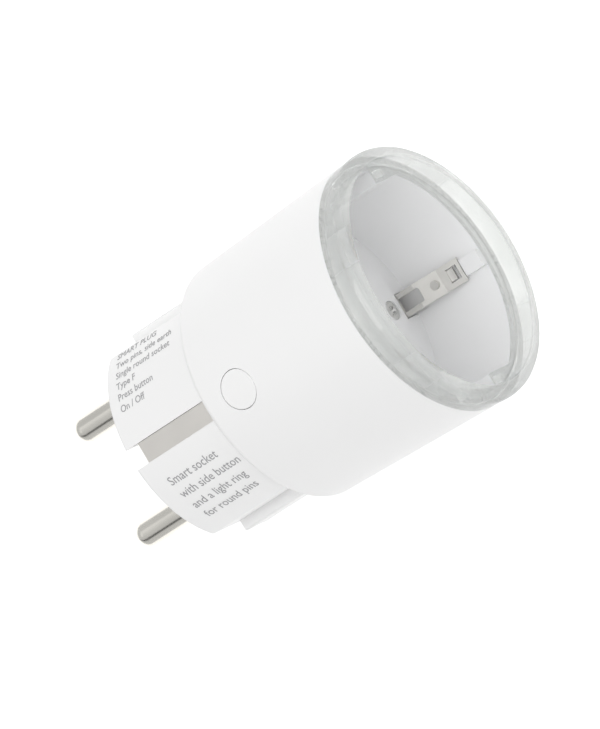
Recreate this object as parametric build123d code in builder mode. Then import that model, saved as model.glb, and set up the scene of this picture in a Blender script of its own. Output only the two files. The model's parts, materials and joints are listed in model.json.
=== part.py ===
from build123d import *
import os

# Round smart plug for a two-pin earthed wall socket. The plug end goes into the wall and the
# other end is a socket for the next plug. Millimetres. +Y points into the wall along the pins,
# X runs along the line of the pins, and +Z is the side with the power button. The origin is
# the centre of the face that meets the wall socket, where the pins come out. A depth is
# counted from that face towards the user, along -Y.

# ---- driving dimensions ----
pin_radius = 2.4
pin_length = 19.0
pin_offset = 9.5               # each pin from the axis, along X
shoulder_depth = 18.4          # where the round body steps out from the plug end
rim_depth = 53.6               # where the clear ring starts to round over
crest_depth = 55.8             # frontmost edge of the clear ring
shoulder_radius = 20.6
rim_radius = 22.0
shell_wall = 1.1
plug_radius = 18.5
plug_flat = 15.8               # flats at both ends of the pin line
plug_wall = 1.6
ridge_reach = 17.7             # guide ridge on each flat
ridge_width = 6.6
ridge_start = 1.5
slot_width = 3.5               # channel for the side earth strip
recess_floor_depth = 35.0
floor_thickness = 2.0
recess_radius_floor = 19.2
recess_radius_mouth = 19.7
cup_rim_depth = 50.4
ring_seam_depth = 51.0
rib_face = 17.0                # guide ribs in the recess, at both ends of the pin line
rib_inner = 4.0
pin_hole_radius = 2.7
screw_offset = 13.4            # floor screws from the axis, along Z
screw_radius = 1.25
screw_head_radius = 1.6
button_depth = 26.0
button_radius = 3.2
button_gap = 0.1
button_top = 22.0
button_proud = 0.04
board_depth = 14.2             # plug side of the main board
board_thickness = 1.6
sheet = 0.6                    # earth and contact sheet metal
strip_width = slot_width - 0.1

board_back = board_depth + board_thickness
plug_inner_radius = plug_radius - plug_wall
plug_inner_flat = plug_flat - plug_wall

os.makedirs("parts", exist_ok=True)


def at_depth(depth):
    """Sketch plane across the axis: local x is X and local y is Z; it extrudes to the user."""
    return Plane.XZ.offset(depth)


def cone_radius(depth):
    """Outer radius of the tapered body at a depth."""
    share = (depth - shoulder_depth) / (rim_depth - shoulder_depth)
    return shoulder_radius + (rim_radius - shoulder_radius) * share


def cup_radius(depth):
    """Inner radius of the socket recess at a depth."""
    share = (depth - recess_floor_depth) / (cup_rim_depth - recess_floor_depth)
    return recess_radius_floor + (recess_radius_mouth - recess_radius_floor) * share


def save(piece, name):
    piece.part.label = name
    export_step(piece.part, f"parts/{name}.step")


def shell_outline(radius, flat):
    """Circle with the two ends of the pin line cut flat, added to the open sketch."""
    Circle(radius)
    Rectangle(2 * flat, 2 * radius, mode=Mode.INTERSECT)


def bent_strip(points, bend_radius, thickness, width):
    """Sheet metal strip that follows (depth, z) points, centred on x = 0."""
    with BuildSketch(Plane.YZ) as profile:
        with BuildLine():
            FilletPolyline(*[(-depth, z) for depth, z in points], radius=bend_radius)
        trace(line_width=thickness)
    extrude(profile.sketch, amount=width / 2, both=True)


# ---- outer shell: tapered sleeve with the shoulder, and the hole for the button ----
with BuildPart() as outer_shell:
    with BuildSketch(Plane.XY):
        with BuildLine():
            Polyline(
                (0, -shoulder_depth),
                (cone_radius(shoulder_depth), -shoulder_depth),
                (cone_radius(ring_seam_depth), -ring_seam_depth),
                (cone_radius(ring_seam_depth) - shell_wall, -ring_seam_depth),
                (cone_radius(shoulder_depth) - shell_wall, -shoulder_depth - shell_wall),
                (0, -shoulder_depth - shell_wall),
                close=True,
            )
        make_face()
    revolve(axis=Axis.Y)
    shoulder_edge = outer_shell.edges().filter_by(GeomType.CIRCLE).sort_by(Axis.Y)[-1]
    fillet(shoulder_edge, 0.9)
    with BuildSketch(at_depth(shoulder_depth - 1)):
        shell_outline(plug_radius + 0.08, plug_flat + 0.08)
        Rectangle(2 * ridge_reach + 0.16, ridge_width + 0.16)
    extrude(amount=4, mode=Mode.SUBTRACT)
    with BuildSketch(Plane.XY.offset(plug_radius - 1)):
        with Locations((0, -button_depth)):
            Circle(button_radius + button_gap)
    extrude(amount=6, mode=Mode.SUBTRACT)
save(outer_shell, "outer_shell")

seat_depth = 0.2               # shallow relief in the face under each pin's plain wall
seat_radius = 2.45
shank_radius = 2.0
shank_end = 8.0
flange_radius = 3.3
flange_thickness = 1.2

# ---- plug base: the end that enters the wall socket, with its two screw towers ----
tower_radius = 2.1
tower_start = 2.9
tower_end = 23.6
root_width = 3.6
root_height = 2.2
root_centre = 12.4
flange_start = shoulder_depth + shell_wall + 0.1
flange_end = flange_start + 1.6
face_thickness = 1.9
corner_radius = 0.8            # where the flats meet the round sides
face_edge_radius = 0.5
notch_floor = 14.0             # the earth channel is deeper where it opens at the face
with BuildPart() as plug_base:
    with BuildSketch(at_depth(0)):
        shell_outline(plug_radius, plug_flat)
    extrude(amount=flange_end)
    fillet(plug_base.edges().filter_by(Axis.Y), corner_radius)
    fillet(plug_base.edges().group_by(Axis.Y)[-1], face_edge_radius)
    with BuildSketch(at_depth(ridge_start)):
        Rectangle(2 * ridge_reach, ridge_width)
        chamfer(vertices(), 0.3)
    extrude(amount=flange_start - ridge_start + 0.5)
    with BuildSketch(at_depth(flange_start)):
        Circle(cone_radius(flange_start) - shell_wall - 0.15)
    extrude(amount=flange_end - flange_start)
    with BuildSketch(at_depth(face_thickness)):
        shell_outline(plug_inner_radius, plug_inner_flat)
    extrude(amount=flange_end, mode=Mode.SUBTRACT)
    # channels for the earth strips, open to the inside and at the face
    with BuildSketch(at_depth(0)):
        with Locations((0, plug_radius), (0, -plug_radius)):
            Rectangle(slot_width, 2 * (plug_radius - notch_floor))
    extrude(amount=flange_end, mode=Mode.SUBTRACT)
    # screw towers, each with a narrower root that passes through the earth bracket
    with BuildSketch(at_depth(face_thickness)):
        with Locations((0, root_centre), (0, -root_centre)):
            Rectangle(root_width, root_height)
    extrude(amount=tower_start - face_thickness)
    with BuildSketch(at_depth(tower_start)):
        with Locations((0, screw_offset), (0, -screw_offset)):
            Circle(tower_radius)
    extrude(amount=tower_end - tower_start)
    with BuildSketch(at_depth(tower_end - 10)):
        with Locations((0, screw_offset), (0, -screw_offset)):
            Circle(screw_radius - 0.15)
    extrude(amount=10, mode=Mode.SUBTRACT)
    # seats for the pin shanks
    with BuildSketch(at_depth(0)):
        with Locations((pin_offset, 0), (-pin_offset, 0)):
            Circle(shank_radius)
    extrude(amount=face_thickness, mode=Mode.SUBTRACT)
    with BuildSketch(at_depth(0)):
        with Locations((pin_offset, 0), (-pin_offset, 0)):
            Circle(seat_radius)
    extrude(amount=seat_depth, mode=Mode.SUBTRACT)
save(plug_base, "plug_base")

# ---- plug pins: round tip, plain wall, and a thinner flanged shank behind the face ----


def plug_pin(name, side):
    with BuildPart() as pin:
        with BuildSketch(Plane.XY):
            with BuildLine():
                tip = pin_length - pin_radius
                flange_back = face_thickness + flange_thickness
                Line((0, -shank_end), (shank_radius, -shank_end))
                Line((shank_radius, -shank_end), (shank_radius, -flange_back))
                Line((shank_radius, -flange_back), (flange_radius, -flange_back))
                Line((flange_radius, -flange_back), (flange_radius, -face_thickness))
                Line((flange_radius, -face_thickness), (shank_radius, -face_thickness))
                Line((shank_radius, -face_thickness), (shank_radius, 0))
                Line((shank_radius, 0), (pin_radius, 0))
                Line((pin_radius, 0), (pin_radius, tip))
                CenterArc((0, tip), pin_radius, 0, 90)
                Line((0, pin_length), (0, -shank_end))
            make_face()
        revolve(axis=Axis.Y)
    pin.part.locate(Location((side * pin_offset, 0, 0)))
    save(pin, name)


plug_pin("line_pin", 1)
plug_pin("neutral_pin", -1)

# ---- socket insert: the recess cup with its floor, guide ribs and screw bosses ----
insert_gap = 0.12
cup_start = recess_floor_depth - floor_thickness
rib_leg_start = 31.9           # the light guide legs end just above the ring of LEDs
leg_inner, leg_outer = 17.8, 18.8
leg_low, leg_high = 4.8, 6.6
leg_gap = 0.15
well_inner = 15.8              # open well in the floor and wall round the foot of each clip
well_end = 37.4
clip_width = 4.0
clip_slot_start = 45.0
clip_slot_width = 2.4
pad_start = 46.7
pad_width = 2.8
pad_face = 18.5


def insert_radius(depth):
    """Outer radius of the cup, just inside the shell."""
    return cone_radius(depth) - shell_wall - insert_gap


def leg_centres():
    """The four light guide legs, beside the groove in each pair of ribs."""
    x, z = (leg_inner + leg_outer) / 2, (leg_low + leg_high) / 2
    return [(x, z), (x, -z), (-x, z), (-x, -z)]


def rib_sketch():
    """The four guide ribs, as pieces of a disc left over at both ends of the pin line."""
    Circle(cup_radius(cup_rim_depth) + 0.2)
    Rectangle(2 * rib_face, 4 * rib_face, mode=Mode.SUBTRACT)
    Rectangle(4 * rib_face, 2 * rib_inner, mode=Mode.SUBTRACT)


with BuildPart() as socket_insert:
    with BuildSketch(Plane.XY):
        with BuildLine():
            Polyline(
                (0, -cup_start),
                (insert_radius(cup_start), -cup_start),
                (insert_radius(cup_rim_depth), -cup_rim_depth),
                (recess_radius_mouth, -cup_rim_depth),
                (recess_radius_floor, -recess_floor_depth),
                (0, -recess_floor_depth),
                close=True,
            )
        make_face()
    revolve(axis=Axis.Y)
    with BuildSketch(at_depth(recess_floor_depth)):
        rib_sketch()
    extrude(amount=cup_rim_depth - recess_floor_depth)
    # pads that hold the free ends of the earth clips
    with BuildSketch(at_depth(pad_start)):
        Circle(recess_radius_mouth + 0.2)
        Rectangle(4 * pad_face, 2 * pad_face, mode=Mode.SUBTRACT)
        Rectangle(pad_width, 4 * pad_face, mode=Mode.INTERSECT)
    extrude(amount=cup_rim_depth - pad_start)
    with BuildSketch(at_depth(tower_end)):
        with Locations((0, screw_offset), (0, -screw_offset)):
            Circle(tower_radius)
    extrude(amount=cup_start - tower_end)
    with BuildSketch(at_depth(rib_leg_start)):
        with Locations(*leg_centres()):
            Rectangle(leg_outer - leg_inner + 2 * leg_gap, leg_high - leg_low + 2 * leg_gap)
    extrude(amount=cup_rim_depth - rib_leg_start, mode=Mode.SUBTRACT)
    with BuildSketch(at_depth(cup_start)):
        Rectangle(clip_width + 0.4, 2 * rim_radius)
        Rectangle(2 * rim_radius, 2 * well_inner, mode=Mode.SUBTRACT)
    extrude(amount=well_end - cup_start, mode=Mode.SUBTRACT)
    # slot in the wall behind the free end of each clip
    with BuildSketch(at_depth(clip_slot_start)):
        Rectangle(clip_slot_width, 2 * rim_radius)
        Rectangle(2 * rim_radius, 2 * pad_face, mode=Mode.SUBTRACT)
    extrude(amount=pad_start - clip_slot_start, mode=Mode.SUBTRACT)
    with Locations(at_depth(recess_floor_depth)):
        with Locations((pin_offset, 0), (-pin_offset, 0)):
            Hole(pin_hole_radius, depth=floor_thickness)
    with Locations(at_depth(recess_floor_depth)):
        with Locations((0, screw_offset), (0, -screw_offset)):
            CounterBoreHole(screw_radius + 0.1, screw_head_radius + 0.07, 1.2, depth=12)
save(socket_insert, "socket_insert")

# ---- light ring: clear rim with a tongue inside the shell and four light guide legs ----
rib_top = 51.2
round_over = crest_depth - rim_depth
ring_tongue_radius = cone_radius(ring_seam_depth) - shell_wall - insert_gap
with BuildPart() as light_ring:
    with BuildSketch(Plane.XY):
        with BuildLine():
            Polyline(
                (rim_radius - round_over, -crest_depth),
                (recess_radius_mouth, -cup_rim_depth),
                (ring_tongue_radius, -cup_rim_depth),
                (ring_tongue_radius, -ring_seam_depth),
                (cone_radius(ring_seam_depth), -ring_seam_depth),
                (rim_radius, -rim_depth),
            )
            CenterArc((rim_radius - round_over, -rim_depth), round_over, 270, 90)
        make_face()
    revolve(axis=Axis.Y)
    fillet(light_ring.edges().group_by(Axis.Y)[0], 0.2)
    with BuildSketch(at_depth(cup_rim_depth)):
        rib_sketch()
    extrude(amount=rib_top - cup_rim_depth)
    with BuildSketch(at_depth(rib_leg_start)):
        with Locations(*leg_centres()):
            Rectangle(leg_outer - leg_inner, leg_high - leg_low)
    extrude(amount=cup_rim_depth - rib_leg_start)
save(light_ring, "light_ring")

# ---- earth brackets: each is one bent sheet with a bridge across the axis ----
bridge_width = 9.4
bridge_reach = 15.6
strip_z = plug_radius - 0.9    # middle of the strip in its channel
plug_bridge_depth = face_thickness + 0.1 + sheet / 2
with BuildPart() as plug_earth_bracket:
    bent_strip(
        [(19.6, strip_z), (plug_bridge_depth, strip_z),
         (plug_bridge_depth, -strip_z), (19.6, -strip_z)],
        0.6, sheet, strip_width,
    )
    with BuildSketch(at_depth(plug_bridge_depth - sheet / 2)):
        RectangleRounded(bridge_width, 2 * bridge_reach, 1.5)
    extrude(amount=sheet)
    with BuildSketch(at_depth(plug_bridge_depth - sheet / 2)):
        with Locations((0, root_centre), (0, -root_centre)):
            Rectangle(root_width + 0.4, root_height + 0.4)
    extrude(amount=sheet, mode=Mode.SUBTRACT)
save(plug_earth_bracket, "plug_earth_bracket")

clip_sheet = 0.5
socket_bridge_depth = 32.4
clip_foot = 16.3
clip_path = [(socket_bridge_depth, clip_foot), (38.6, clip_foot - 0.2),
             (42.6, 17.9), (46.5, 18.7)]
with BuildPart() as socket_earth_bracket:
    for side in (1, -1):
        bent_strip([(socket_bridge_depth, 0)] + [(d, side * z) for d, z in clip_path],
                   0.45, clip_sheet, clip_width)
    # each clip has a window between two prongs at its foot and a smaller one near its free end
    with BuildSketch(Plane.XY):
        with Locations((0, -37.1)):
            RectangleRounded(2.4, 4.4, 0.3)
        with Locations((0, -45.0)):
            Rectangle(2.3, 1.9)
    extrude(amount=25, both=True, mode=Mode.SUBTRACT)
    # a tongue bent into the upper window, and a round dimple that stiffens the clip
    for side in (1, -1):
        bent_strip([(43.9, side * 18.2), (44.6, side * 18.35), (45.2, side * 18.4)],
                   0.2, 0.35, 1.9)
        with BuildSketch(Plane.XY.offset(side * 17.3)) as dimple:
            with Locations((0, -41.6)):
                Circle(0.75)
        extrude(dimple.sketch, amount=side * 0.5)
    with BuildSketch(at_depth(socket_bridge_depth - clip_sheet / 2)):
        RectangleRounded(bridge_width, 2 * bridge_reach, 1.5)
    extrude(amount=clip_sheet)
    with BuildSketch(at_depth(socket_bridge_depth - clip_sheet / 2)):
        with Locations((0, screw_offset), (0, -screw_offset)):
            Circle(tower_radius + 0.15)
    extrude(amount=clip_sheet, mode=Mode.SUBTRACT)
save(socket_earth_bracket, "socket_earth_bracket")

# joins the two brackets on the side away from the button
strap_start = 17.2
strap_z = strip_z - sheet
strap_bend = socket_bridge_depth - clip_sheet / 2 - sheet / 2
with BuildPart() as earth_strap:
    bent_strip([(strap_start, -strap_z), (strap_bend, -strap_z), (strap_bend, -15.75)],
               0.4, sheet, 3.0)
save(earth_strap, "earth_strap")

# ---- main board with the parts of the mains side ----
board_radius = 16.4
board_flat = 13.9
with BuildPart() as main_board:
    with BuildSketch(at_depth(board_depth)):
        shell_outline(board_radius, board_flat)
        with Locations((0, screw_offset), (0, -screw_offset)):
            Circle(tower_radius + 0.25, mode=Mode.SUBTRACT)
    extrude(amount=board_thickness)
save(main_board, "main_board")


def pin_strap(name, side):
    """Bent strip from the end of a pin shank down to the main board."""
    with BuildPart() as strap:
        with BuildSketch(at_depth(shank_end)):
            with Locations((side * pin_offset, 0)):
                Circle(2.6)
        extrude(amount=0.8)
        with BuildSketch(at_depth(shank_end)):
            with Locations((side * (pin_offset + 2.2), 0)):
                Rectangle(0.8, 4)
        extrude(amount=board_depth - shank_end)
    save(strap, name)


pin_strap("line_pin_strap", 1)
pin_strap("neutral_pin_strap", -1)

contact_end = 32.0
contact_gap = pin_radius + 0.05


def socket_contact(name, side):
    """Spring channel that grips a pin, with flared lips under the recess floor."""
    outer = contact_gap + sheet
    with BuildPart() as contact:
        with BuildSketch(at_depth(board_back)):
            with Locations((side * pin_offset, 0)):
                Rectangle(2 * outer, 2 * outer)
                Rectangle(2 * contact_gap, 2 * contact_gap, mode=Mode.SUBTRACT)
            with Locations((side * (pin_offset - outer), 0)):
                Rectangle(2 * sheet, 3, mode=Mode.SUBTRACT)
        extrude(amount=contact_end - 1.5 - board_back)
        for edge_z in (1, -1):
            with BuildSketch(Plane.YZ.offset(side * pin_offset)) as lip:
                with BuildLine():
                    start, low, high = -(contact_end - 1.5), edge_z * contact_gap, edge_z * outer
                    Polyline((start, low), (start, high), (start - 1.5, high + edge_z * 0.5),
                             (start - 1.5, low + edge_z * 0.5), close=True)
                make_face()
            extrude(lip.sketch, amount=2, both=True)
    save(contact, name)


socket_contact("line_socket_contact", 1)
socket_contact("neutral_socket_contact", -1)

with BuildPart() as relay:
    with BuildSketch(at_depth(board_back)):
        Rectangle(10.2, 18.4)
    extrude(amount=15.3)
    fillet(relay.edges().filter_by(Axis.Y), 0.6)
    chamfer(relay.faces().sort_by(Axis.Y)[0].edges(), 0.4)
save(relay, "relay")

# small supply transformer: a bobbin and winding between the two halves of its core
transformer_start = 5.4
with BuildPart() as transformer:
    with BuildSketch(at_depth(transformer_start)):
        Rectangle(9.6, 9.0)
    extrude(amount=board_depth - transformer_start)
    with BuildSketch(at_depth(transformer_start + 2)):
        Rectangle(12, 9.0)
        RectangleRounded(8.0, 7.4, 1.5, mode=Mode.SUBTRACT)
    extrude(amount=4.6, mode=Mode.SUBTRACT)
save(transformer, "transformer")

capacitor_length = 8.6
with BuildPart() as bulk_capacitors:
    with BuildSketch(at_depth(board_depth - capacitor_length)):
        with Locations((-5.6, 9.4), (5.6, 9.4)):
            Circle(3.1)
    extrude(amount=capacitor_length)
    groove = board_depth - 1.6
    with BuildSketch(at_depth(groove)):
        with Locations((-5.6, 9.4), (5.6, 9.4)):
            Circle(3.3)
            Circle(2.8, mode=Mode.SUBTRACT)
    extrude(amount=0.6, mode=Mode.SUBTRACT)
    chamfer(bulk_capacitors.edges().group_by(Axis.Y)[-1], 0.35)
save(bulk_capacitors, "bulk_capacitors")

with BuildPart() as varistor:
    with BuildSketch(at_depth(board_depth - 4.6)):
        with Locations((7.0, -8.6)):
            Circle(4.2)
    extrude(amount=3.8)
    fillet(varistor.edges(), 0.9)
    with BuildSketch(at_depth(board_depth - 2)):
        with Locations((4.6, -8.6), (9.4, -8.6)):
            Circle(0.4)
    extrude(amount=2)
save(varistor, "varistor")

with BuildPart() as fuse_resistor:
    with BuildSketch(Plane.XY.offset(-8.4)):
        with BuildLine():
            Polyline((-6.4, -5.6), (-4.6, -5.6), (-4.6, -7.2), (-4.9, -7.4), (-4.9, -11.0),
                     (-4.6, -11.2), (-4.6, -12.8), (-5.9, -12.8), (-5.9, -board_depth),
                     (-6.4, -board_depth), close=True)
        make_face()
    revolve(axis=Axis((-6.4, 0, -8.4), (0, 1, 0)))
save(fuse_resistor, "fuse_resistor")

with BuildPart() as film_capacitor:
    with BuildSketch(at_depth(21.2)):
        with Locations((-15.1, 0)):
            RectangleRounded(4.2, 12.5, 0.5)
    extrude(amount=8.6)
    with BuildSketch(at_depth(board_back)):
        with Locations((-13.4, 4.4), (-13.4, -4.4)):
            Circle(0.35)
    extrude(amount=21.2 - board_back)
save(film_capacitor, "film_capacitor")

with BuildPart() as shunt_resistor:
    with BuildSketch(at_depth(board_back)):
        with Locations((-9.0, 8.6)):
            Rectangle(6.4, 3.0)
    extrude(amount=1.4)
    with BuildSketch(at_depth(board_back)):
        with Locations((-9.0, 8.6)):
            Rectangle(3.4, 3.2)
    extrude(amount=0.6, mode=Mode.SUBTRACT)
save(shunt_resistor, "shunt_resistor")

with BuildPart() as bridge_rectifier:
    with BuildSketch(at_depth(board_back)):
        with Locations((9.2, -8.4)):
            Rectangle(4.6, 6.2)
    extrude(amount=2.2)
    chamfer(bridge_rectifier.faces().sort_by(Axis.Y)[0].edges(), 0.3)
save(bridge_rectifier, "bridge_rectifier")

with BuildPart() as power_chip:
    with BuildSketch(at_depth(board_back)):
        with Locations((-9.2, -8.4)):
            Rectangle(4.0, 5.0)
    extrude(amount=1.5)
    with BuildSketch(at_depth(board_back)):
        with Locations((-9.2, -8.4)):
            with GridLocations(5.2, 1.27, 2, 4):
                Rectangle(1.2, 0.45)
    extrude(amount=0.3)
save(power_chip, "power_chip")

# ---- radio board standing beside the relay, with its screening can ----
radio_x = 12.8
with BuildPart() as radio_board:
    with BuildSketch(Plane.YZ.offset(radio_x)):
        with Locations((-(board_back + 29.8) / 2, 0)):
            Rectangle(29.8 - board_back, 12.0)
    extrude(amount=0.8)
save(radio_board, "radio_board")

with BuildPart() as radio_shield:
    with BuildSketch(Plane.YZ.offset(radio_x + 0.8)):
        with Locations((-25.6, -0.9)):
            RectangleRounded(7.6, 9.6, 0.5)
    extrude(amount=2.0)
    fillet(radio_shield.faces().sort_by(Axis.X)[-1].edges(), 0.25)
save(radio_shield, "radio_shield")

# ---- control board under the button, the switch on it and the two moving pieces ----
control_start, control_end = 21.4, 30.0
control_z = 15.75
control_thickness = 0.8
switch_size = 3.6
switch_top = 17.75
plunger_top = 18.1
plunger_radius = 0.9
with BuildPart() as control_board:
    with BuildSketch(Plane.XY.offset(control_z)):
        with Locations((0, -(control_start + control_end) / 2)):
            Rectangle(17.0, control_end - control_start)
    extrude(amount=control_thickness)
save(control_board, "control_board")

with BuildPart() as switch_body:
    with BuildSketch(Plane.XY.offset(control_z + control_thickness)):
        with Locations((0, -button_depth)):
            Rectangle(switch_size, switch_size)
    extrude(amount=switch_top - control_z - control_thickness)
    chamfer(switch_body.edges().filter_by(Axis.Z), 0.4)
    with BuildSketch(Plane.XY.offset(switch_top)):
        with Locations((0, -button_depth)):
            Circle(plunger_radius + 0.05)
    extrude(amount=-1.0, mode=Mode.SUBTRACT)
save(switch_body, "switch_body")

press_travel = 0.3
with BuildPart() as switch_plunger:
    with BuildSketch(Plane.XY.offset(switch_top - 1.0 + press_travel + 0.05)):
        with Locations((0, -button_depth)):
            Circle(plunger_radius)
    extrude(amount=plunger_top - (switch_top - 1.0 + press_travel + 0.05))
    chamfer(switch_plunger.edges().group_by(Axis.Z)[-1], 0.15)
save(switch_plunger, "switch_plunger")

# the cap follows the taper of the shell, a little proud, with a flange that keeps it inside
button_flange_radius = 4.3
button_flange_bottom = 18.65
button_flange_top = 19.15
button_stem_radius = 1.4
with BuildPart() as power_button:
    with BuildSketch(Plane.XY.offset(button_flange_top)):
        with Locations((0, -button_depth)):
            Circle(button_radius)
    extrude(amount=button_top - button_flange_top)
    with BuildSketch(Plane.XY):
        with BuildLine():
            near, far = button_depth - 6, button_depth + 6
            Polyline((0, -near), (cone_radius(near) + button_proud, -near),
                     (cone_radius(far) + button_proud, -far), (0, -far), close=True)
        make_face()
    revolve(axis=Axis.Y, mode=Mode.INTERSECT)
    fillet(power_button.edges().group_by(Axis.Z)[-1], 0.12)
    with BuildSketch(Plane.XY.offset(button_flange_bottom)):
        with Locations((0, -button_depth)):
            Circle(button_flange_radius)
    extrude(amount=button_flange_top - button_flange_bottom)
    with BuildSketch(Plane.XY.offset(plunger_top + 0.05)):
        with Locations((0, -button_depth)):
            Circle(button_stem_radius)
    extrude(amount=button_flange_bottom - plunger_top - 0.05)
save(power_button, "power_button")

# ---- LEDs under the light guide legs, on two arc boards ----
led_board_depth = 30.2
led_board_inner, led_board_outer = 16.5, 19.6
led_height = 0.7


def led_board(name, side):
    with BuildPart() as board:
        with BuildSketch(at_depth(led_board_depth)):
            Circle(led_board_outer)
            Circle(led_board_inner, mode=Mode.SUBTRACT)
            with Locations((side * led_board_outer, 0)):
                Rectangle(2 * 6.6, 20, mode=Mode.INTERSECT)
        extrude(amount=0.8)
    save(board, name)


led_board("line_side_led_board", 1)
led_board("neutral_side_led_board", -1)

with BuildPart() as status_leds:
    with BuildSketch(at_depth(led_board_depth + 0.8)):
        with Locations(*leg_centres()):
            Rectangle(0.8, 1.6)
    extrude(amount=led_height)
save(status_leds, "status_leds")

# ---- floor screws: pan heads with a six-point recess, sunk in the floor ----
screw_length = 13.0
screw_seat = recess_floor_depth - 1.2
with BuildPart() as insert_screws:
    with BuildSketch(at_depth(screw_seat)):
        with Locations((0, screw_offset), (0, -screw_offset)):
            Circle(screw_head_radius)
    extrude(amount=1.15)
    chamfer(insert_screws.edges().group_by(Axis.Y)[0], 0.2)
    with BuildSketch(at_depth(screw_seat - screw_length)):
        with Locations((0, screw_offset), (0, -screw_offset)):
            Circle(screw_radius - 0.15)
    extrude(amount=screw_length)
    with BuildSketch(at_depth(screw_seat + 0.7)):
        with Locations((0, screw_offset), (0, -screw_offset)):
            for angle in (30, 90, 150):
                Rectangle(1.7, 0.34, rotation=angle)
    extrude(amount=1.0, mode=Mode.SUBTRACT)
save(insert_screws, "insert_screws")
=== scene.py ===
import json
import math

import bmesh
import bpy
from mathutils import Matrix, Vector


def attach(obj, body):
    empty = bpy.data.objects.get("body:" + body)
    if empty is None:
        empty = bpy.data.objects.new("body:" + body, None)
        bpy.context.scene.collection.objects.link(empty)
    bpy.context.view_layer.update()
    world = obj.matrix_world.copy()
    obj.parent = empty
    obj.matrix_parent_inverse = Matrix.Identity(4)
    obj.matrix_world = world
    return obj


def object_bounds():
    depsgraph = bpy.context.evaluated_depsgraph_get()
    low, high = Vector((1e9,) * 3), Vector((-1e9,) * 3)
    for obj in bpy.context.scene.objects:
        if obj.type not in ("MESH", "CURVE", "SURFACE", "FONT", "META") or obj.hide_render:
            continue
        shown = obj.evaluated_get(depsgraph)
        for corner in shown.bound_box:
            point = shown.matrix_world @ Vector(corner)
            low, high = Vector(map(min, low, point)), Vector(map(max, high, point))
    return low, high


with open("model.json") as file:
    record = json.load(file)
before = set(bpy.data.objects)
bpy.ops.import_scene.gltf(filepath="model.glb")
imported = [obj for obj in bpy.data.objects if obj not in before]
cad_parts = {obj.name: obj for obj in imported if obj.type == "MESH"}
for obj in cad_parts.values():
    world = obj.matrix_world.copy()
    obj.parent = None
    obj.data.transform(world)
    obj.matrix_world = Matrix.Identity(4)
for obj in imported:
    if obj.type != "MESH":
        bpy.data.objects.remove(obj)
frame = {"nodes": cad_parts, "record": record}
cadLow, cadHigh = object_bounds()
nodes = frame["nodes"]
mm = 0.001
print("frame loaded:", len(nodes), "pieces")


# An output socket that takes part in plain arithmetic. Each operator adds a Math node.
class Wire:
    def __init__(self, tree, node, socket):
        self.tree, self.node, self.socket = tree, node, socket

    def out(self, name):
        return Wire(self.tree, self.node, self.node.outputs[name])

    def op(self, kind, first, second):
        return self.tree.op2(kind, first, second)

    def __add__(self, other): return self.op("ADD", self, other)
    def __radd__(self, other): return self.op("ADD", other, self)
    def __sub__(self, other): return self.op("SUBTRACT", self, other)
    def __rsub__(self, other): return self.op("SUBTRACT", other, self)
    def __mul__(self, other): return self.op("MULTIPLY", self, other)


class Finish:
    def __init__(self, name, kind="Material"):
        store = bpy.data.worlds if kind == "World" else bpy.data.materials
        self.material = store.new(name)
        self.material.use_nodes = True
        self.nodes = self.material.node_tree.nodes
        self.links = self.material.node_tree.links
        self.nodes.clear()
        self.output = self.nodes.new("ShaderNodeOutput" + kind)

    # settings are set first, then the sockets, by name or number, to a value or another node's wire
    def add(self, kind, settings=None, sockets=None):
        node = self.nodes.new(kind)
        for name, value in (settings or {}).items():
            if name == "stops":
                ramp = node.color_ramp
                while len(ramp.elements) < len(value):
                    ramp.elements.new(0.5)
                for element, (place, colour) in zip(ramp.elements, value):
                    element.position = place
                    element.color = (*colour, 1) if len(colour) == 3 else colour
            else:
                setattr(node, name, value)
        for name, value in (sockets or {}).items():
            socket = node.inputs[name]
            if isinstance(value, Wire):
                self.links.new(value.socket, socket)
            elif hasattr(socket.default_value, "__len__") and len(value) != len(socket.default_value):
                socket.default_value = (*value, 1)
            else:
                socket.default_value = value
        shown = next(o for o in node.outputs if o.enabled)
        return Wire(self, node, shown)

    def op2(self, kind, first, second):
        return self.add("ShaderNodeMath", {"operation": kind}, {0: first, 1: second})

    def surface(self, sockets):
        shader = self.add("ShaderNodeBsdfPrincipled", {}, sockets)
        self.links.new(shader.socket, self.output.inputs["Surface"])
        return self.material

    def place(self):
        return self.add("ShaderNodeTexCoord").out("Object")

    def noise(self, scale, detail=2.0, stretch=(1, 1, 1)):
        spot = self.add("ShaderNodeMapping", {}, {"Vector": self.place(), "Scale": stretch})
        return self.add("ShaderNodeTexNoise", {}, {"Vector": spot, "Scale": scale, "Detail": detail})

    def mixColour(self, factor, first, second, blend="MIX"):
        return self.add("ShaderNodeMix", {"data_type": "RGBA", "blend_type": blend},
                        {0: factor, 6: first, 7: second}).out(2)

    def bump(self, height, strength, distance):
        return self.add("ShaderNodeBump", {}, {"Height": height, "Strength": strength,
                                               "Distance": distance})


plasticLook = {"cloudScale": 45, "speckScale": 2600, "shade": 0.975, "glossSpread": 0.12,
               "relief": 0.00002, "index": 1.38}


def whitePlastic(name, tone, gloss, grain, v=plasticLook):
    f = Finish(name)
    cloud = f.noise(v["cloudScale"], 3)       # slow, faint unevenness of the moulding
    speck = f.noise(v["speckScale"], 2)       # fine spark-eroded texture
    dark = tuple(c * v["shade"] for c in tone)
    return f.surface({
        "Base Color": f.mixColour(cloud, dark, tone),
        "Roughness": gloss + (speck - 0.5) * v["glossSpread"],
        "Normal": f.bump(speck, grain, v["relief"]),
        "IOR": v["index"],
    })


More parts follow.
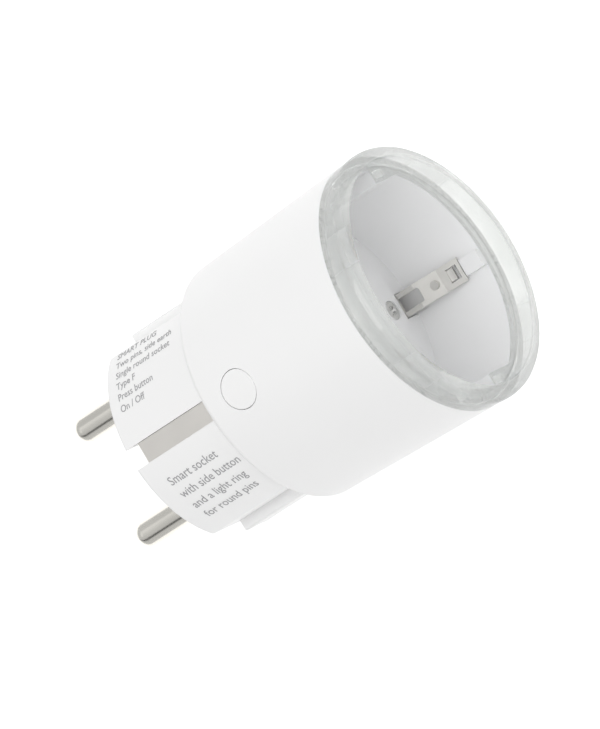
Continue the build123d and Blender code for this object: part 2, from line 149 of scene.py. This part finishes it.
ringLook = {
    "tint": (0.76, 0.78, 0.76),
    "rimPaintedShade": (0.36, 0.38, 0.38),    # painted shade seen along the surface, standing in for the dark outline of the clear ring
    "clear": 0.6,
    "index": 1.5,
    "solidFacing": 0.56,
    "solidEdge": 0.92,
    "footDepth": 0.0500,     # metres from the face; an added faint glow stands in for gathered light
    "footReach": 0.0022,
    "footGlow": 0.2,
    "edgeStart": 0.55,       # how far from face-on the painted shade starts
    "edgeFull": 0.95,
    "shade": 0.985,
}


def clearPlastic(v):
    f = Finish("clear_polycarbonate")
    flow = f.noise(90, 2, (1, 0.4, 1))        # faint waves left by the flow of the plastic
    depth = f.add("ShaderNodeSeparateXYZ", {}, {"Vector": f.place()}).out("Y")
    foot = f.add("ShaderNodeMapRange", {"interpolation_type": "SMOOTHSTEP"}, {
        "Value": depth, "From Min": -v["footDepth"] - v["footReach"], "From Max": -v["footDepth"]})
    waves = f.mixColour(flow, tuple(c * v["shade"] for c in v["tint"]), v["tint"])
    # the base colour darkens towards grazing angles: painted shade for the dark outline of the ring
    facing = f.add("ShaderNodeLayerWeight", {}, {"Blend": 0.5}).out("Facing")
    edge = f.add("ShaderNodeMapRange", {"interpolation_type": "SMOOTHSTEP"},
                 {"Value": facing, "From Min": v["edgeStart"], "From Max": v["edgeFull"]})
    return f.surface({
        "Base Color": f.mixColour(edge, waves, v["rimPaintedShade"]),
        "Roughness": 0.02 + flow * 0.03,
        "Normal": f.bump(flow, 0.12, 0.0004),
        "IOR": v["index"],
        "Transmission Weight": v["clear"],
        "Alpha": f.add("ShaderNodeMapRange", {}, {
            "Value": edge, "To Min": v["solidFacing"], "To Max": v["solidEdge"]}),
        "Emission Color": f.mixColour(foot, (0, 0, 0), (1, 1, 1)),
        "Emission Strength": v["footGlow"],
    })


metalLook = {"hairScale": 900, "spotScale": 160, "shade": 0.86, "hairSpread": 0.14,
             "spotSpread": 0.06, "relief": 0.00002}


def metal(name, tone, rough, drawn, brush, v=metalLook):
    f = Finish(name)
    hair = f.noise(v["hairScale"], 3, drawn)  # drawing or rolling marks along the piece
    spot = f.noise(v["spotScale"], 2)
    dull = tuple(c * v["shade"] for c in tone)
    return f.surface({
        "Base Color": f.mixColour(spot, dull, tone),
        "Metallic": 1.0,
        "Roughness": rough + (hair - 0.5) * v["hairSpread"] + (spot - 0.5) * v["spotSpread"],
        "Normal": f.bump(hair, brush, v["relief"]),
    })


boardLook = {"weaveScale": 420, "trackScale": 330, "trackWidth": 0.03, "rough": 0.32,
             "roughSpread": 0.08, "mask": (0.01, 0.10, 0.045), "track": (0.03, 0.20, 0.09),
             "relief": 0.00004}


def solderMask(v):
    f = Finish("solder_mask")
    weave = f.add("ShaderNodeTexWave", {"wave_type": "BANDS", "bands_direction": "DIAGONAL"},
                  {"Vector": f.place(), "Scale": v["weaveScale"], "Distortion": 6, "Detail": 2})
    brick = f.add("ShaderNodeTexBrick", {}, {"Vector": f.place(), "Scale": v["trackScale"],
                                             "Mortar Size": v["trackWidth"], "Bias": 0.2})
    line = brick.out("Fac")
    return f.surface({
        "Base Color": f.mixColour(line, v["mask"], v["track"]),
        "Roughness": v["rough"] + weave * v["roughSpread"],
        "Normal": f.bump(line, 0.3, v["relief"]),
    })


mouldedLook = {"grainScale": 1800, "patchScale": 140, "shade": 0.85, "roughSpread": 0.2,
               "grain": 0.25, "relief": 0.00003}


def moulded(name, tone, rough, v=mouldedLook):
    f = Finish(name)
    grain = f.noise(v["grainScale"], 3)
    patch = f.noise(v["patchScale"], 2)
    return f.surface({
        "Base Color": f.mixColour(patch, tuple(c * v["shade"] for c in tone), tone),
        "Roughness": rough + (grain - 0.5) * v["roughSpread"],
        "Normal": f.bump(grain, v["grain"], v["relief"]),
    })


windingLook = {"turnScale": 900, "core": (0.03, 0.025, 0.022), "copper": (0.42, 0.19, 0.06),
               "shine": 0.6, "rough": 0.55, "roughSpread": 0.2, "relief": 0.0001}


def windingFinish(v):
    f = Finish("core_and_winding")
    turns = f.add("ShaderNodeTexWave", {"wave_type": "BANDS", "bands_direction": "Y"},
                  {"Vector": f.place(), "Scale": v["turnScale"], "Distortion": 0.6})
    return f.surface({
        "Base Color": f.mixColour(turns, v["core"], v["copper"]),
        "Metallic": turns * v["shine"],
        "Roughness": v["rough"] - turns * v["roughSpread"],
        "Normal": f.bump(turns, 0.5, v["relief"]),
    })


ledLook = {"scale": 700, "deep": (0.85, 0.8, 0.35), "pale": (0.95, 0.93, 0.7),
           "rough": 0.25, "roughSpread": 0.1}


def ledFinish(v):
    f = Finish("led_lens")
    spot = f.noise(v["scale"], 1)
    return f.surface({
        "Base Color": f.mixColour(spot, v["deep"], v["pale"]),
        "Roughness": v["rough"] + spot * v["roughSpread"],
    })


inkLook = {"wearScale": 1500, "dark": (0.30, 0.30, 0.31), "worn": (0.42, 0.42, 0.43),
           "rough": 0.5, "roughSpread": 0.1}


def inkFinish(v):
    f = Finish("pad_print_ink")
    wear = f.noise(v["wearScale"], 4)
    return f.surface({
        "Base Color": f.mixColour(wear, v["dark"], v["worn"]),
        "Roughness": v["rough"] + wear * v["roughSpread"],
    })


finishes = {
    "white_shell": whitePlastic("white_shell", (0.92, 0.92, 0.918), 0.42, 0.05),
    "white_button": whitePlastic("white_button", (0.925, 0.925, 0.922), 0.34, 0.02),
    "white_insert": whitePlastic("white_insert", (0.87, 0.872, 0.876), 0.42, 0.05),
    "clear_ring": clearPlastic(ringLook),
    "nickel_pin": metal("nickel_pin", (0.9, 0.88, 0.82), 0.2, (1, 0.03, 1), 0.10),
    "nickel_strip": metal("nickel_strip", (0.96, 0.935, 0.89), 0.36, (1, 0.04, 1), 0.20),
    "brass": metal("stamped_brass", (0.80, 0.60, 0.28), 0.26, (1, 0.05, 1), 0.20),
    "steel_can": metal("tinned_can", (0.72, 0.73, 0.74), 0.30, (1, 1, 0.1), 0.20),
    "screw_steel": metal("zinc_screw", (0.96, 0.96, 0.95), 0.42, (1, 1, 1), 0.10),
    "clip_strip": metal("dull_clip_strip", (0.76, 0.75, 0.725), 0.66, (1, 0.04, 1), 0.20),
    "green_board": solderMask(boardLook),
    "dark_case": moulded("black_case", (0.035, 0.035, 0.038), 0.5),
    "winding": windingFinish(windingLook),
    "capacitor_sleeve": moulded("shrink_sleeve", (0.03, 0.04, 0.09), 0.28),
    "yellow_case": moulded("potted_box", (0.78, 0.56, 0.07), 0.4),
    "blue_lacquer": moulded("dipped_lacquer", (0.03, 0.12, 0.38), 0.22),
    "led_lens": ledFinish(ledLook),
    "print_ink": inkFinish(inkLook),
}
slotOf = {s["node"]: s["material_slot"] for s in frame["record"]["subparts"]}
# the clips get a duller finish than their slot, so they mirror less of the key
finishOf = {**slotOf, "socket_earth_bracket": "clip_strip"}
for name, piece in nodes.items():
    piece.data.materials.clear()
    piece.data.materials.append(finishes[finishOf[name]])
print("finishes made:", len(finishes))

# small grey print on both sides of the earth strip; its lines run from the face towards the socket
printing = {
    "radius": 18.5,          # millimetres, the round side of the plug end
    "proud": 0.03,
    "narrow": 0.9,
    "thickness": 0.012,      # half the ink's thickness
    "sizeForHeight": 1.4,    # type size for a capital's height
    "blocks": [
        {"name": "print_upper", "start": 2.2, "height": 1.2, "pitch": 6.2, "first": 53.5,
         "lines": ["SMART PLUG", "Two pins, side earth", "Single round socket", "Type F", "Press button",
                   "On / Off"]},
        {"name": "print_lower", "start": 3.6, "height": 1.55, "pitch": 8.4, "first": -21.0,
         "lines": ["Smart socket", "with side button", "and a light ring", "for round pins"]},
    ],
}


def wrapText(v, block):
    pieces = []
    for row, words in enumerate(block["lines"]):
        curve = bpy.data.curves.new(words, "FONT")
        curve.body, curve.size = words, block["height"] * v["sizeForHeight"]
        curve.extrude, curve.resolution_u = v["thickness"], 3
        text = bpy.data.objects.new(words, curve)
        bpy.context.scene.collection.objects.link(text)
        bpy.context.view_layer.update()
        mesh = bpy.data.meshes.new_from_object(text)
        bpy.data.objects.remove(text)
        angle = math.radians(block["first"] - block["pitch"] * row)
        for corner in mesh.vertices:
            along, up, out = corner.co
            reach = v["radius"] + v["proud"] + out
            turn = angle + up / v["radius"]
            corner.co = Vector((reach * math.sin(turn), -(block["start"] + along * v["narrow"]),
                                reach * math.cos(turn))) * mm
        pieces.append(mesh)
    return pieces


def joinMeshes(name, meshes):
    whole = bmesh.new()
    for mesh in meshes:
        whole.from_mesh(mesh)
    bmesh.ops.remove_doubles(whole, verts=whole.verts, dist=1e-7)
    result = bpy.data.meshes.new(name)
    whole.to_mesh(result)
    whole.free()
    piece = bpy.data.objects.new(name, result)
    bpy.context.scene.collection.objects.link(piece)
    return piece


for block in printing["blocks"]:
    label = joinMeshes(block["name"], wrapText(printing, block))
    label.data.materials.append(finishes["print_ink"])
    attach(label, "housing")
print("print wrapped on the plug end")

view = {
    "azimuth": 6.85,         # degrees round the object, 0 looks along +Y
    "elevation": 55.47,
    "roll": 114.8,
    "distance": 1.5,
    "lens": 477.8,
    "aim": (0.0, -0.0218, -0.0031),
}


def makeCamera(v):
    azimuth, elevation, roll = (math.radians(v[k]) for k in ("azimuth", "elevation", "roll"))
    forward = Vector((math.sin(azimuth) * math.cos(elevation),
                      math.cos(azimuth) * math.cos(elevation), -math.sin(elevation)))
    side = forward.cross(Vector((0, 0, 1))).normalized()
    level = side.cross(forward)
    up = level * math.cos(roll) + side * math.sin(roll)
    right = forward.cross(up)
    data = bpy.data.cameras.new("camera")
    data.lens, data.sensor_width = v["lens"], 36
    data.clip_start, data.clip_end = 0.05, 10
    camera = bpy.data.objects.new("camera", data)
    bpy.context.scene.collection.objects.link(camera)
    turn = Matrix((right, up, -forward)).transposed()
    spot = Vector(v["aim"]) - forward * v["distance"]
    camera.matrix_world = Matrix.Translation(spot) @ turn.to_4x4()
    bpy.context.scene.camera = camera


makeCamera(view)


def softBox(name, direction, distance, size, power):
    data = bpy.data.lights.new(name, "AREA")
    data.shape, data.size, data.size_y = "RECTANGLE", size[0], size[1]
    data.energy = power
    light = bpy.data.objects.new(name, data)
    bpy.context.scene.collection.objects.link(light)
    place = Vector(direction).normalized() * distance
    light.location = place
    light.rotation_euler = (-place).to_track_quat("-Z", "Y").to_euler()
    light.visible_camera = False


# name, direction from the object, size in metres, watts
lights = [
    ("key", (0.05, -0.4, 1.0), (0.6, 0.6), 3.9),
    ("fill", (-0.15, -1.0, 0.6), (0.6, 0.6), 0.45),
    ("rim", (0.3, 0.9, 0.9), (0.5, 0.3), 0.1),
]
lightDistance = 0.9
for name, direction, size, power in lights:
    softBox(name, direction, lightDistance, size, power)

flag = {"angle": -38.7, "halfWidth": 8.0, "dark": 0.09, "bright": 0.58}


# white all round, with one dark flag that lies along the plug and draws a line down bright metal
def studioWorld(v):
    w = Finish("studio", "World")
    way = w.add("ShaderNodeTexCoord").out("Generated")
    parts = w.add("ShaderNodeSeparateXYZ", {}, {"Vector": way})
    turn = w.op2("ARCTAN2", parts.out("X"), parts.out("Z"))
    away = w.op2("ABSOLUTE", turn - math.radians(v["angle"]), 0)
    edge = w.add("ShaderNodeMapRange", {"interpolation_type": "SMOOTHSTEP"}, {
        "Value": away, "From Min": math.radians(v["halfWidth"] * 0.6),
        "From Max": math.radians(v["halfWidth"] * 1.4), "To Min": v["dark"], "To Max": v["bright"]})
    back = w.add("ShaderNodeBackground", {}, {"Color": (1, 1, 1), "Strength": edge})
    w.links.new(back.socket, w.output.inputs["Surface"])
    bpy.context.scene.world = w.material


studioWorld(flag)


floorLook = {"darker": (0.90, 0.90, 0.90), "lighter": (0.92, 0.92, 0.92), "rough": 0.7,
             "glow": 0.45, "reach": 4.0, "gap": 0.0005}


def paleFloor(v):
    f = Finish("pale_floor")
    grain = f.noise(60, 2)
    f.surface({
        "Base Color": f.mixColour(grain, v["darker"], v["lighter"]),
        "Roughness": v["rough"] + grain * 0.1,
        "Emission Color": (1, 1, 1, 1),
        "Emission Strength": v["glow"],
    })
    mesh = bpy.data.meshes.new("floor")
    reach, level = v["reach"], cadLow.z - v["gap"]
    corners = [(-reach, -reach, level), (reach, -reach, level),
               (reach, reach, level), (-reach, reach, level)]
    mesh.from_pydata(corners, [], [(0, 1, 2, 3)])
    mesh.materials.append(f.material)
    floor = bpy.data.objects.new("floor", mesh)
    bpy.context.scene.collection.objects.link(floor)


paleFloor(floorLook)
bpy.context.scene.view_settings.view_transform = "Standard"
print("studio ready")
